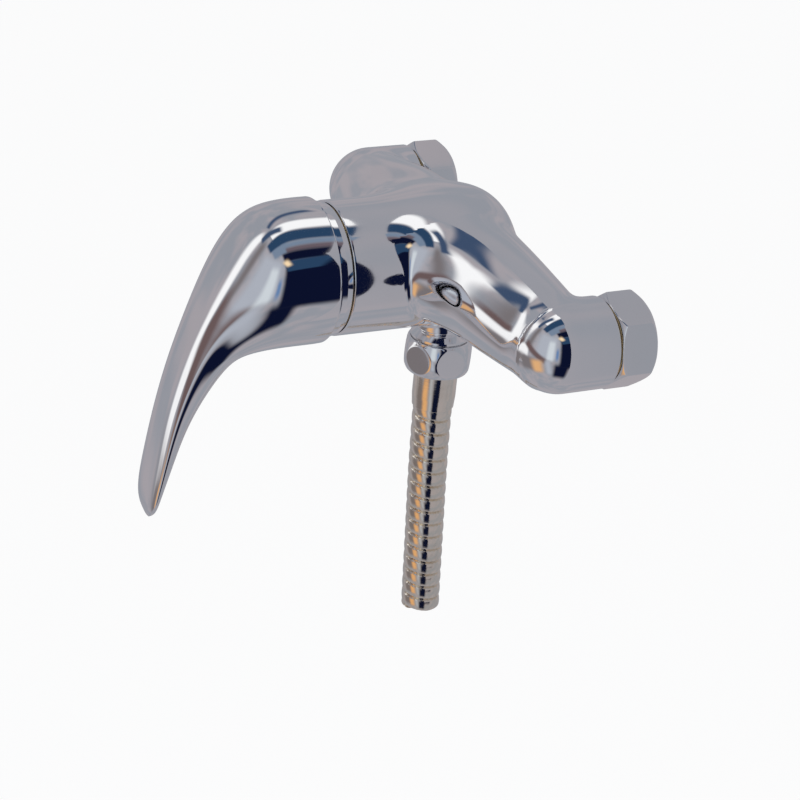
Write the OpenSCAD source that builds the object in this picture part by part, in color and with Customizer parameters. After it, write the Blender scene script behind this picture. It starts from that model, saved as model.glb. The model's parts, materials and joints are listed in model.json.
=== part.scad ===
// Wall-mounted single-lever shower mixer with the first length of its metal shower hose.
// X runs along the two inlets, Y points at the wall, Z is up. The origin lies midway
// between the rear faces of the two inlet nuts.

/* [Body] */
// Distance between the two inlet centres
inlet_centres = 150; // [130:1:170]
// Distance from the nuts' rear faces to the front of the barrel
barrel_reach = 83.5; // [78:0.5:95]
// Height of the barrel's axis over the inlet axis
barrel_lift = 3; // [0:0.5:6]
// Outside diameter of the barrel
barrel_d = 48.4; // [47:0.2:54]
// Wall of the barrel beside the cartridge
barrel_wall = 3.95; // [3.4:0.05:4.6]
// Distance from the nuts' rear faces to the flat back of the barrel
barrel_back = 15; // [12:0.5:20]
// Radius of the barrel's rounded back edge
barrel_back_r = 13; // [6:0.5:14]
// Diameter of the domed elbows
elbow_d = 32; // [30:0.5:36]
// Distance from the nuts' rear faces to the centre of the elbow domes
elbow_y = 31; // [29:0.5:34]
// Radius of the arms where they leave the barrel
arm_root_r = 21.8; // [18:0.2:23]
// How far the root of the arms flares forward along the barrel
arm_flare = 9; // [2:0.5:12]
// Distance from the nuts' rear faces to the outlet's axis
outlet_y = 35; // [33:0.5:38]
// Depth of the outlet boss below the inlet axis
boss_drop = 24.6; // [23:0.2:28]
// Diameter of the outlet boss
boss_d = 20; // [19:0.5:24]

/* [Inlet unions] */
// Size across the flats of the inlet nuts
nut_af = 30; // [29:0.5:34]
// Length of the inlet nuts
nut_len = 14; // [13:0.5:18]
// Radius of the inlet nuts' internal thread, G3/4
nut_thread_r = 12.06; // [12:0.01:12.3]
// Free length of the inlet nuts' internal thread
nut_thread_len = 7.5; // [6:0.5:8]
// Angle of the inlet nuts' corners
nut_turn = 41; // [0:1:59]
// Radius of the tails' thread in the elbows, G1/2
tail_thread_r = 10.4; // [10:0.1:10.8]
// Length of the tails' thread
tail_thread_len = 10; // [8:0.5:12]
// Radius of the tails' waterway
tail_bore_r = 6.5; // [5:0.1:7]
// Thickness of the inlet washers
inlet_washer_t = 2.2; // [1.5:0.1:3]
// Visible gap between elbow and nut
union_gap = 1.2; // [0.8:0.1:2]

/* [Cartridge] */
// Depth of the cartridge's seat behind the front of the barrel
cart_depth = 27; // [26:0.2:30]
// Wall of the cartridge's housing
housing_wall = 2.8; // [2.2:0.1:3.2]
// Margin between the fixed disc and the housing
disc_margin = 1.2; // [0.6:0.1:2]
// Thickness of the ceramic discs
disc_t = 3.2; // [3:0.1:3.6]
// Radius of the two inlet ports
port_r = 3.2; // [2.6:0.1:3.4]
// Radius of the mixed-water port
mixed_r = 4; // [3.4:0.1:4.2]
// Sideways distance of the inlet ports
port_x = 7.2; // [6.8:0.1:7.4]
// Distance of the inlet ports below the barrel's axis
port_drop = 4; // [3.6:0.1:4.4]
// Distance of the mixed-water port above the barrel's axis
mixed_rise = 7.5; // [7:0.1:7.7]
// Radius of the turret that carries the stem
turret_r = 11.2; // [10.8:0.1:11.6]
// Radius of the ball at the stem's lower end
stem_ball_r = 2.5; // [2.2:0.1:2.7]
// Radius of the pivot pin
pivot_r = 1.75; // [1.5:0.05:2]
// Width of the square stem
stem_w = 7.6; // [7:0.1:8]
// Reach of the stem in front of the pivot
stem_reach = 22.4; // [20:0.2:25]
// Largest lift of the lever, in degrees
lift_max = 25; // [15:1:25]

/* [Collar and lever] */
// Width of the collar ring seen behind the hood
collar_w = 5.8; // [5:0.1:7]
// Width of the dark line between barrel and collar
collar_gap = 0.5; // [0.3:0.1:0.8]
// How far the hood stands out past the barrel
hood_lip = 1.9; // [1.6:0.1:3]
// Radial play between the collar and the hood's rim
hood_play = 0.7; // [0.5:0.05:1]
// Size factor of the lever's handle
handle_k = 1; // [0.9:0.02:1.1]
// Radius of the boss that takes the stem
boss_r = 9; // [8.5:0.1:9.5]
// Radius of the grub screw
grub_r = 2.5; // [2:0.1:2.6]
// Radius of the index plug under the hood
plug_r = 3.4; // [3:0.1:3.8]

/* [Outlet and hose] */
// Radius of the outlet thread, G1/2
outlet_thread_r = 10.38; // [10.2:0.02:10.48]
// Radius of the nipple's waterway
nipple_bore_r = 5.9; // [5.6:0.1:6.1]
// Size across the flats of the hose nut
hose_nut_af = 24; // [23.4:0.2:26]
// Height of the hose nut
hose_nut_h = 13.2; // [12:0.2:15]
// How much the rounding takes off the hose nut's corners
hose_nut_crest = 0.66; // [0.3:0.02:1]
// Angle of the hose nut's corners
hose_nut_turn = 26; // [0:1:59]
// Height of the gap between outlet boss and hose nut
nipple_collar_h = 3.8; // [3:0.1:5]
// Wall of the ferrule
ferrule_wall = 0.75; // [0.6:0.05:1.2]
// Length of the ferrule
ferrule_len = 14.6; // [12:0.2:18]
// Outside diameter of the metal hose
hose_d = 14.8; // [14:0.1:15.2]
// Outside diameter of the inner tube
liner_d = 10; // [9:0.1:10.4]
// Length of hose below the ferrule
hose_len = 87; // [60:1:140]

/* [Hidden] */
$fn = 96;
// Clearance of a running fit, radial
run_fit = 0.06;
// Clearance between fixed pieces, radial
seat_fit = 0.1;
// Clearance between pieces that move past each other
slip = 0.3;
barrel_r = barrel_d / 2;
bore_r = barrel_r - barrel_wall;
cart_r = bore_r - 0.25;
nut_ring_r = bore_r + 0.95;
floor_z = -cart_depth;
base_lift = 0.3;
base_t = 5;
base_top = floor_z + base_lift + base_t;
fixed_top = base_top + disc_t;
moving_top = fixed_top + disc_t;
carrier_t = 3.4;
carrier_top = moving_top + carrier_t;
turret_foot = carrier_top + 0.3;
turret_foot_t = 1.9;
turret_top = 4;
shoulder_z = turret_foot + turret_foot_t + 1.7;
housing_top = -1.5;
housing_neck_r = turret_r + 3.2;
housing_in_r = cart_r - housing_wall;
turret_flange_r = housing_in_r - 1.6;
port_y = -port_drop;
mixed_y = mixed_rise;
// Distance from the pivot to the stem's ball, which dips into the disc carrier
stem_arm = -moving_top - 0.8 - stem_ball_r;
stem_root = 3.6;
disc_travel = stem_arm * sin(lift_max);
fixed_disc_r = housing_in_r - disc_margin;
moving_disc_r = housing_in_r - disc_travel - slip;
pocket_x = 3.2;
pocket_y = 4.3;
pocket_r = moving_disc_r - norm([pocket_x, pocket_y]) - 1.2;
peg_r = 1.5;
peg_len = 2.8;
peg_reach = cart_r - 4.2;
peg_turn = 34.7;
collar_r = barrel_r;
collar_dome = 3.4;
ring_in_r = nut_ring_r - 0.6;
nut_hex_r = ring_in_r - 2.7;
dome_r = sqrt(collar_r * collar_r + collar_w * collar_w);
rim_in_r = collar_r + hood_play;
hood_in_r = sqrt(rim_in_r * rim_in_r + collar_w * collar_w);
hood_r = barrel_r + hood_lip;
core_u = 15;
core_drop = 1.5;
core_r = hood_in_r - 4.57;
boss_foot = 10;
boss_end = core_u + core_r + 0.6;
grub_u = 16;
grub_len = 5;
plug_len = 2.6;
plug_sink = 0.3;
nut_front = -nut_len;
elbow_rear = nut_front - union_gap;
elbow_r = elbow_d / 2;
lip_t = 2.2;
relief_r = nut_thread_r + 0.5;
tail_neck_r = 10;
tail_key_r = 12 / sqrt(3);
elbow_bore_r = tail_thread_r - 2.4;
inlet_seal_r = 0.62;
tail_flange_t = nut_len - lip_t - nut_thread_len - inlet_washer_t - 0.1;
arm_end_r = elbow_r - 0.6;
passage_r = 6;
passage_y = barrel_reach - cart_depth - passage_r - 1.6;
boss_z = -boss_drop;
nipple_foot = boss_z - nipple_collar_h;
nipple_shank_r = 8;
nipple_shank_len = 9;
nipple_step = 0.8;
outlet_way_r = 5.5;
hose_nut_top = nipple_foot - 0.4;
hose_nut_mid = hose_nut_top - hose_nut_h / 2;
hose_nut_foot = hose_nut_top - hose_nut_h;
hose_lip_t = 3.4;
insert_flange_t = 1.8;
hose_washer_t = 2;
hose_neck_r = 6.9;
hose_thread_z = hose_nut_foot + hose_lip_t;
flange_foot = hose_thread_z + 0.1;
washer_foot = flange_foot + insert_flange_t;
nipple_tip = washer_foot + hose_washer_t;
ferrule_top = hose_nut_foot - 0.4;
ferrule_foot = ferrule_top - ferrule_len;
nipple_collar_r = outlet_thread_r + 0.52;
valve_r = nipple_bore_r - 0.08;
valve_foot = nipple_tip + 1.2;
valve_len = 12;
valve_seat_t = 1.2;
poppet_travel = 2.5;
poppet_t = 1.2;
guide_t = 2.2;
valve_in_r = valve_r - 1.42;
poppet_r = valve_in_r - 0.6;
poppet_stem_r = 0.8;
guide_r = 1.9;
spring_r = 2.5;
spring_wire_r = 0.28;
hose_nut_corner = hose_nut_af / sqrt(3);
ferrule_r = hose_d / 2 + ferrule_wall;
liner_wall = 1.3;
liner_in_r = liner_d / 2 - liner_wall;
hose_sway = 3.8;
// Route of the hose's centre line, from inside the ferrule to the cut end
hose_route = [
    [0, -outlet_y, ferrule_top - 2.6],
    [0, -outlet_y, ferrule_foot],
    [0, -outlet_y + 0.2 * hose_sway, ferrule_foot - 0.3 * hose_len],
    [0, -outlet_y + 0.6 * hose_sway, ferrule_foot - 0.65 * hose_len],
    [0, -outlet_y + hose_sway, ferrule_foot - hose_len]
];
// Stations of the lever from the hood's rim to the tip: top edge forward and up,
// under edge forward and up, half width, and squareness of the section
hood_stations = [
    [collar_w, hood_r - 0.7, collar_w, 0.7 - hood_r, hood_r - 0.7, 2],
    [collar_w + collar_dome, hood_r, collar_w + collar_dome, -hood_r, hood_r, 2],
    [collar_w + 15.2, hood_r - 1.1, collar_w + 13.2, -hood_r - 0.1, hood_r - 0.3, 2],
    [collar_w + 25.2, hood_r - 6.3, collar_w + 22.2, -hood_r - 0.5, hood_r - 2.5, 2.1]
];
handle_stations = [
    [40.3, 6.4, 36, -28.2, 18.8, 2.4],
    [49, -12.5, 41.5, -33.3, 14.2, 2.8],
    [55.7, -31.5, 47.3, -42.6, 11.8, 3],
    [60.5, -51, 53, -54.5, 10.6, 3],
    [63.5, -69, 57.8, -68.6, 10.1, 3],
    [64.9, -80, 60.8, -79.3, 9.2, 2.8],
    [64.8, -86.3, 62.2, -85.8, 6.6, 2.5],
    [63.8, -89.4, 63.2, -89.3, 2.2, 2]
];
stations = concat(hood_stations, [for (s = handle_stations)
    [for (i = [0:5]) i < 5 ? s[i] * handle_k : s[i]]]);
lever_sides = 40;
lever_steps = 4;

// Blend of four values along a smooth curve
function smooth4(a, b, c, d, t) =
    0.5 * (2 * b + (c - a) * t + (2 * a - 5 * b + 4 * c - d) * t * t
    + (3 * b - a - 3 * c + d) * t * t * t);
function station(list, i) = list[max(0, min(len(list) - 1, i))];
function between(list, i, t) =
    smooth4(station(list, i - 1), station(list, i), station(list, i + 1), station(list, i + 2), t);
function sign_pow(v, p) = (v < 0 ? -1 : 1) * pow(abs(v), p);

// Triangles that join the rings of a loft, m rings of n points, closed by a fan at each end
function skin(n, m) = concat(
    [for (j = [0:m - 2]) for (i = [0:n - 1]) [j * n + i, (j + 1) * n + i, j * n + (i + 1) % n]],
    [for (j = [0:m - 2]) for (i = [0:n - 1])
        [j * n + (i + 1) % n, (j + 1) * n + i, (j + 1) * n + (i + 1) % n]],
    [for (i = [0:n - 1]) [m * n, i, (i + 1) % n]],
    [for (i = [0:n - 1]) [m * n + 1, (m - 1) * n + (i + 1) % n, (m - 1) * n + i]]);
function middle(r) = [for (k = [0:2]) (min([for (p = r) p[k]]) + max([for (p = r) p[k]])) / 2];

module loft(rings) {
    m = len(rings);
    polyhedron(points = concat([for (r = rings) for (p = r) p], [middle(rings[0]), middle(rings[m - 1])]),
        faces = skin(len(rings[0]), m));
}

// Local Z points forward along the barrel's axis, from the front of the barrel
module at_front() {
    translate([0, -barrel_reach, barrel_lift])
        rotate([90, 0, 0])
            children();
}

// Local Z points forward along an inlet's axis, from the nut's rear face
module at_inlet(side) {
    translate([side * inlet_centres / 2, 0, 0])
        rotate([90, 0, 0])
            children();
}

// Local Z points up along the outlet's axis
module at_outlet() {
    translate([0, -outlet_y, 0])
        children();
}

module tube(r_out, r_in, z0, z1) {
    difference() {
        translate([0, 0, z0])
            cylinder(r = r_out, h = z1 - z0);
        translate([0, 0, z0 - 1])
            cylinder(r = r_in, h = z1 - z0 + 2);
    }
}

module o_ring(mean_r, wire_r) {
    rotate_extrude()
        translate([mean_r, 0])
            circle(r = wire_r, $fn = 32);
}

// The crossbar formed by the two arms
function arm_s(x) = abs(x) / (inlet_centres / 2);
function arm_k(x) = max(0, min(1, (44 - abs(x)) / 26));
function arm_y(x) = -elbow_y - 6.5 * (1 - pow(arm_s(x), 2.2));
function arm_z(x) = 6 * (1 - pow(arm_s(x), 2));
function arm_r(x) = arm_root_r - (arm_root_r - arm_end_r) * pow(arm_s(x), 1.6);
function arm_front(x) = arm_r(x) + arm_flare * pow(arm_k(x), 2.4);
function arm_high(x) = arm_r(x) - 0.8 * pow(arm_k(x), 2);
function arm_ring(x, n) = [for (i = [0:n - 1]) let (a = 360 * i / n, c = cos(a), s = sin(a))
    [x, arm_y(x) + c * (c < 0 ? arm_front(x) : arm_r(x)), arm_z(x) + s * arm_high(x)]];

module crossbar() {
    half = inlet_centres / 2;
    stops = [-1, -0.96, -0.9, -0.82, -0.74, -0.66, -0.58, -0.5, -0.43, -0.36, -0.29, -0.2];
    xs = concat(stops, [0], [for (i = [len(stops) - 1:-1:0]) -stops[i]]);
    loft([for (x = xs) arm_ring(x * half, 28)]);
}

module barrel_form() {
    depth = barrel_reach - barrel_back;
    at_front()
        rotate_extrude() {
            translate([0, -depth])
                square([barrel_r - barrel_back_r + 0.01, depth]);
            translate([0, barrel_back_r - depth])
                square([barrel_r, depth - barrel_back_r - 0.4]);
            translate([0, -0.5])
                square([barrel_r - 0.4, 0.5]);
            translate([barrel_r - barrel_back_r, barrel_back_r - depth])
                intersection() {
                    circle(r = barrel_back_r);
                    translate([0, -barrel_back_r])
                        square([barrel_back_r, barrel_back_r + 1]);
                }
            translate([barrel_r - 0.4, -0.4])
                circle(r = 0.4);
        }
}

module elbow_form(side) {
    at_inlet(side) {
        translate([0, 0, -elbow_rear])
            cylinder(r = elbow_r, h = elbow_y + elbow_rear);
        translate([0, 0, elbow_y])
            sphere(r = elbow_r);
    }
}

// A drilling between two points
module drill(a, b, r) {
    d = b - a;
    len = norm(d);
    translate(a)
        rotate([0, acos(d[2] / len), atan2(d[1], d[0])])
            cylinder(r = r, h = len);
}

module waterways() {
    for (side = [-1, 1]) {
        at_inlet(side) {
            translate([0, 0, -elbow_rear - 1])
                cylinder(r = tail_thread_r + seat_fit, h = tail_thread_len + 1.6);
            translate([0, 0, -elbow_rear - 1])
                cylinder(r = tail_thread_r + 1.4, h = 1 + 2 * inlet_seal_r + 0.04);
            translate([0, 0, -elbow_rear])
                cylinder(r = elbow_bore_r, h = elbow_y + elbow_rear + 2);
            translate([0, 0, elbow_y + 2])
                sphere(r = elbow_bore_r);
        }
        drill([side * inlet_centres / 2, -elbow_y, 0],
            [side * (port_x + 1.5), -passage_y, barrel_lift + port_y], passage_r);
        at_front()
            translate([side * port_x, port_y, -barrel_reach + passage_y])
                cylinder(r = port_r + 0.2, h = barrel_reach - passage_y - cart_depth + 1);
    }
    at_front()
        translate([0, mixed_y, -barrel_reach + outlet_y])
            cylinder(r = mixed_r + 0.2, h = barrel_reach - outlet_y - cart_depth + 1);
    at_outlet() {
        translate([0, 0, boss_z - 1])
            cylinder(r = nipple_shank_r + seat_fit, h = nipple_shank_len + 2.4);
        translate([0, 0, boss_z])
            cylinder(r = outlet_way_r, h = boss_drop + barrel_lift + mixed_y);
    }
}

// The seat of a locating peg in the floor under the cartridge
module at_peg(side) {
    translate([side * peg_reach * cos(peg_turn), peg_reach * sin(peg_turn), floor_z])
        children();
}

module body_casting() {
    color("silver")
    difference() {
        union() {
            barrel_form();
            crossbar();
            elbow_form(-1);
            elbow_form(1);
            at_outlet()
                translate([0, 0, boss_z])
                    cylinder(r = boss_d / 2, h = boss_drop - 4.6);
        }
        at_front() {
            translate([0, 0, floor_z])
                cylinder(r = bore_r, h = cart_depth + 1);
            translate([0, 0, shoulder_z - 1])
                cylinder(r = nut_ring_r + seat_fit, h = 2 - shoulder_z);
            for (side = [-1, 1])
                at_peg(side)
                    translate([0, 0, -peg_len - 0.6])
                        cylinder(r = peg_r + seat_fit, h = peg_len + 1.6);
        }
        waterways();
    }
}

module inlet_tail(side) {
    color("darkgoldenrod")
    at_inlet(side)
        difference() {
            union() {
                translate([0, 0, -elbow_rear])
                    cylinder(r = tail_thread_r, h = tail_thread_len);
                translate([0, 0, nut_len + 0.1])
                    cylinder(r = tail_thread_r + 2.6, h = union_gap - 0.1);
                translate([0, 0, nut_thread_len + inlet_washer_t])
                    cylinder(r = tail_neck_r, h = nut_len - nut_thread_len - inlet_washer_t + 0.5);
                translate([0, 0, nut_thread_len + inlet_washer_t])
                    cylinder(r = nut_thread_r - 0.3, h = tail_flange_t);
            }
            translate([0, 0, 1])
                cylinder(r = tail_bore_r, h = tail_thread_len - elbow_rear);
            translate([0, 0, nut_thread_len + inlet_washer_t - 1])
                cylinder(r = tail_key_r, h = 9, $fn = 6);
        }
}

module inlet_nut(side) {
    corner_r = nut_af / sqrt(3);
    color("silver")
    at_inlet(side)
        difference() {
            intersection() {
                rotate([0, 0, nut_turn])
                    cylinder(r = corner_r, h = nut_len, $fn = 6);
                rotate_extrude()
                    polygon([[0, 0], [nut_af / 2 - 0.4, 0], [corner_r + 0.1, 2.4],
                        [corner_r + 0.1, nut_len - 1.6], [nut_af / 2, nut_len], [0, nut_len]]);
            }
            translate([0, 0, -1])
                cylinder(r = nut_thread_r, h = nut_thread_len + 2);
            translate([0, 0, nut_thread_len])
                cylinder(r = relief_r, h = nut_len - lip_t - nut_thread_len);
            translate([0, 0, nut_len - lip_t - 1])
                cylinder(r = tail_neck_r + run_fit, h = lip_t + 2);
        }
}

module inlet_washer(side) {
    color("dimgray")
    at_inlet(side)
        tube(nut_thread_r - 0.1, tail_bore_r + 0.7, nut_thread_len, nut_thread_len + inlet_washer_t);
}

module inlet_seal(side) {
    color("dimgray")
    at_inlet(side)
        translate([0, 0, -elbow_rear + inlet_seal_r + 0.02])
            o_ring(tail_thread_r + 0.7, inlet_seal_r);
}

module outlet_nipple() {
    color("silver")
    at_outlet()
        difference() {
            union() {
                translate([0, 0, boss_z])
                    cylinder(r = nipple_shank_r, h = nipple_shank_len);
                rotate_extrude()
                    polygon([[0, boss_z], [nipple_shank_r + 0.6, boss_z],
                        [nipple_shank_r + 0.6, boss_z - nipple_step], [nipple_collar_r, nipple_foot + nipple_step],
                        [nipple_collar_r, nipple_foot], [0, nipple_foot]]);
                translate([0, 0, nipple_tip])
                    cylinder(r = outlet_thread_r, h = nipple_foot - nipple_tip);
            }
            translate([0, 0, valve_foot])
                cylinder(r = nipple_bore_r, h = boss_z + nipple_shank_len + 1 - valve_foot);
            translate([0, 0, nipple_tip - 1])
                cylinder(r = nipple_bore_r - 1.3, h = 4);
        }
}

module check_valve_body() {
    color("whitesmoke")
    at_outlet()
        translate([0, 0, valve_foot])
            difference() {
                union() {
                    tube(valve_r, valve_in_r, 0, valve_len);
                    translate([0, 0, valve_len - valve_seat_t])
                        cylinder(r = valve_in_r + 0.6, h = valve_seat_t);
                    cylinder(r = guide_r, h = guide_t);
                    for (a = [0, 120, 240])
                        rotate([0, 0, a])
                            translate([0, -0.5, 0])
                                cube([valve_in_r + 0.4, 1, guide_t]);
                }
                translate([0, 0, valve_len - valve_seat_t - 1])
                    cylinder(r = poppet_r - 0.8, h = valve_seat_t + 2);
                translate([0, 0, -1])
                    cylinder(r = poppet_stem_r + run_fit, h = guide_t + 2);
            }
}

module check_valve_poppet() {
    top = valve_len - valve_seat_t - 0.1;
    color("gainsboro")
    at_outlet()
        translate([0, 0, valve_foot]) {
            translate([0, 0, top - poppet_t])
                cylinder(r = poppet_r, h = poppet_t);
            translate([0, 0, poppet_travel + 0.1])
                cylinder(r = poppet_stem_r, h = top - poppet_travel - 0.6);
        }
}

module check_valve_spring() {
    low = valve_foot + guide_t + spring_wire_r + 0.02;
    high = valve_foot + valve_len - valve_seat_t - 0.1 - poppet_t - spring_wire_r - 0.02;
    turns = 4;
    steps = 14;
    sides = 6;
    n = turns * steps;
    color("lightgray")
    at_outlet()
        loft([for (j = [0:n]) let (a = -360 * j / steps, z = low + (high - low) * j / n)
            [for (i = [0:sides - 1]) let (b = 360 * i / sides, r = spring_r + spring_wire_r * cos(b))
                [r * cos(a), r * sin(a), z + spring_wire_r * sin(b)]]]);
}

module hose_nut() {
    color("silver")
    at_outlet()
        difference() {
            intersection() {
                translate([0, 0, hose_nut_foot])
                    rotate([0, 0, hose_nut_turn])
                        cylinder(r = hose_nut_corner, h = hose_nut_h, $fn = 6);
                translate([0, 0, hose_nut_mid])
                    sphere(r = hose_nut_corner - hose_nut_crest);
            }
            translate([0, 0, hose_thread_z])
                cylinder(r = outlet_thread_r + seat_fit, h = hose_nut_h);
            translate([0, 0, hose_nut_foot - 1])
                cylinder(r = hose_neck_r + run_fit, h = hose_lip_t + 2);
        }
}

module hose_washer() {
    color("dimgray")
    at_outlet()
        tube(outlet_thread_r - 0.2, nipple_bore_r - 0.9, washer_foot, nipple_tip);
}

module hose_insert() {
    color("darkgoldenrod")
    at_outlet()
        difference() {
            union() {
                translate([0, 0, flange_foot])
                    cylinder(r = outlet_thread_r - 0.3, h = insert_flange_t);
                translate([0, 0, ferrule_top])
                    cylinder(r = hose_neck_r, h = flange_foot - ferrule_top + 0.5);
                translate([0, 0, ferrule_foot + 1])
                    cylinder(r = liner_in_r - 0.2, h = ferrule_len);
            }
            translate([0, 0, ferrule_foot])
                cylinder(r = liner_in_r - 1.2, h = nipple_tip - ferrule_foot);
        }
}

module hose_ferrule() {
    r = ferrule_r;
    color("silver")
    at_outlet()
        difference() {
            rotate_extrude()
                polygon([[0, ferrule_foot], [r - 0.3, ferrule_foot], [r, ferrule_foot + 4.4],
                    [r, ferrule_top - 0.4], [r - 0.4, ferrule_top], [0, ferrule_top]]);
            translate([0, 0, ferrule_foot - 1])
                cylinder(r = hose_d / 2 + 0.05, h = ferrule_len - 1.4);
            translate([0, 0, ferrule_foot])
                cylinder(r = liner_in_r - 0.15, h = ferrule_len + 1);
        }
}

// A tube with straight ends along a route that lies in one plane across X
function route_dir(p, i) = let (a = p[max(0, i - 1)], b = p[min(len(p) - 1, i + 1)]) (b - a) / norm(b - a);
function route_ring(p, i, r, n) = let (d = route_dir(p, i))
    [for (k = [0:n - 1]) let (a = 360 * k / n)
        p[i] + [r * cos(a), -r * sin(a) * d[2], r * sin(a) * d[1]]];

module swept_tube(path, r_out, r_in) {
    n = 12;
    m = len(path);
    outer = [for (i = [0:m - 1]) for (q = route_ring(path, i, r_out, n)) q];
    inner = [for (i = [0:m - 1]) for (q = route_ring(path, i, r_in, n)) q];
    k = n * m;
    e = n * (m - 1);
    polyhedron(points = concat(outer, inner), faces = concat(
        [for (j = [0:m - 2]) for (i = [0:n - 1])
            [j * n + i, (j + 1) * n + i, j * n + (i + 1) % n]],
        [for (j = [0:m - 2]) for (i = [0:n - 1])
            [j * n + (i + 1) % n, (j + 1) * n + i, (j + 1) * n + (i + 1) % n]],
        [for (j = [0:m - 2]) for (i = [0:n - 1])
            [k + j * n + i, k + j * n + (i + 1) % n, k + (j + 1) * n + i]],
        [for (j = [0:m - 2]) for (i = [0:n - 1])
            [k + j * n + (i + 1) % n, k + (j + 1) * n + (i + 1) % n, k + (j + 1) * n + i]],
        [for (i = [0:n - 1]) [i, (i + 1) % n, k + i]],
        [for (i = [0:n - 1]) [(i + 1) % n, k + (i + 1) % n, k + i]],
        [for (i = [0:n - 1]) [e + i, k + e + i, e + (i + 1) % n]],
        [for (i = [0:n - 1]) [e + (i + 1) % n, k + e + i, k + e + (i + 1) % n]]));
}

module hose() {
    color("silver")
        swept_tube(hose_route, hose_d / 2, liner_d / 2 + 0.3);
}

module hose_inner_tube() {
    color("dimgray")
        swept_tube(hose_route, liner_d / 2, liner_in_r);
}

module port_holes(z0, h, extra) {
    for (side = [-1, 1])
        translate([side * port_x, port_y, z0])
            cylinder(r = port_r + extra, h = h);
    translate([0, mixed_y, z0])
        cylinder(r = mixed_r + extra, h = h);
}

module cartridge_base() {
    color("white")
    at_front()
        difference() {
            union() {
                translate([0, 0, floor_z + base_lift])
                    cylinder(r = cart_r - seat_fit, h = base_t);
                for (side = [-1, 1])
                    at_peg(side)
                        translate([0, 0, -peg_len])
                            cylinder(r = peg_r, h = peg_len + base_lift + 1);
            }
            port_holes(floor_z - 1, base_lift + base_t + 2, 0);
            for (side = [-1, 1])
                translate([side * port_x, port_y, floor_z + base_lift - 1])
                    tube(port_r + 2.9, port_r + 0.7, 0, 2.8);
            translate([0, mixed_y, floor_z + base_lift - 1])
                tube(mixed_r + 2.9, mixed_r + 0.7, 0, 2.8);
        }
}

module base_seal(x, y, r) {
    color("dimgray")
    at_front()
        translate([x, y, floor_z + 1.04])
            o_ring(r + 1.8, 1.03);
}

module fixed_disc() {
    color("ivory")
    at_front()
        difference() {
            translate([0, 0, base_top])
                cylinder(r = fixed_disc_r, h = disc_t);
            port_holes(base_top - 1, disc_t + 2, 0);
        }
}

module moving_disc() {
    color("ivory")
    at_front()
        difference() {
            translate([0, 0, fixed_top])
                cylinder(r = moving_disc_r, h = disc_t);
            for (side = [-1, 1])
                translate([side * pocket_x, pocket_y, fixed_top - 1])
                    cylinder(r = pocket_r, h = 2.8);
            translate([-pocket_x, pocket_y - pocket_r, fixed_top - 1])
                cube([2 * pocket_x, 2 * pocket_r, 2.8]);
        }
}

module disc_carrier() {
    slot = stem_ball_r + slip / 2;
    color("dimgray")
    at_front()
        difference() {
            translate([0, 0, moving_top])
                cylinder(r = moving_disc_r, h = carrier_t);
            translate([-slot - slip / 2, -slot, moving_top + 0.6])
                cube([2 * slot + slip, 2 * slot, carrier_t]);
        }
}

module cartridge_housing() {
    color("white")
    at_front()
        difference() {
            union() {
                translate([0, 0, base_top])
                    cylinder(r = cart_r - seat_fit, h = shoulder_z - base_top);
                translate([0, 0, shoulder_z - 0.5])
                    cylinder(r = housing_neck_r, h = housing_top - shoulder_z + 0.5);
            }
            translate([0, 0, base_top - 1])
                cylinder(r = housing_in_r, h = turret_foot + turret_foot_t + 0.2 - base_top + 1);
            translate([0, 0, base_top - 1])
                cylinder(r = turret_r + run_fit, h = housing_top - base_top + 2);
        }
}

// Room for the stem as it swings about the pin
module stem_room() {
    half = stem_w / 2 + run_fit;
    low = turret_r - 1.6;
    high = stem_ball_r + 2.1;
    translate([-half, -low, turret_foot - 1])
        cube([2 * half, low + high, 1 - turret_foot]);
    translate([-half, -stem_w / 2 - 1.2, -1])
        cube([2 * half, stem_w + 4.6, turret_top + 2]);
}

module turret() {
    color("gray")
    at_front()
        difference() {
            union() {
                translate([0, 0, turret_foot])
                    cylinder(r = turret_r, h = turret_top - turret_foot);
                translate([0, 0, turret_foot])
                    cylinder(r = turret_flange_r, h = turret_foot_t);
            }
            stem_room();
            translate([-turret_r - 1, 0, 0])
                rotate([0, 90, 0])
                    cylinder(r = pivot_r + seat_fit, h = 2 * turret_r + 2);
        }
}

module pivot_pin() {
    color("lightgray")
    at_front()
        translate([0.3 - turret_r, 0, 0])
            rotate([0, 90, 0])
                cylinder(r = pivot_r, h = 2 * turret_r - 0.6);
}

module stem() {
    w = stem_w;
    color("darkgoldenrod")
    at_front()
        difference() {
            union() {
                translate([-w / 2, -w / 2, -stem_root])
                    cube([w, w, stem_root + stem_reach]);
                translate([0, 0, -stem_arm])
                    cylinder(r = stem_ball_r - 0.6, h = stem_arm - 2);
                translate([0, 0, -stem_arm])
                    sphere(r = stem_ball_r);
            }
            translate([-w, 0, 0])
                rotate([0, 90, 0])
                    cylinder(r = pivot_r + run_fit, h = 2 * w);
        }
}

module cartridge_nut() {
    color("darkgoldenrod")
    at_front()
        difference() {
            union() {
                translate([0, 0, shoulder_z])
                    cylinder(r = nut_ring_r, h = -shoulder_z);
                cylinder(r = ring_in_r, h = collar_w);
            }
            translate([0, 0, shoulder_z - 1])
                cylinder(r = housing_neck_r + 0.3, h = collar_w - shoulder_z + 2);
            translate([0, 0, housing_top + 0.5])
                cylinder(r = nut_hex_r, h = collar_w - housing_top + 1, $fn = 6);
        }
}

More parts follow.
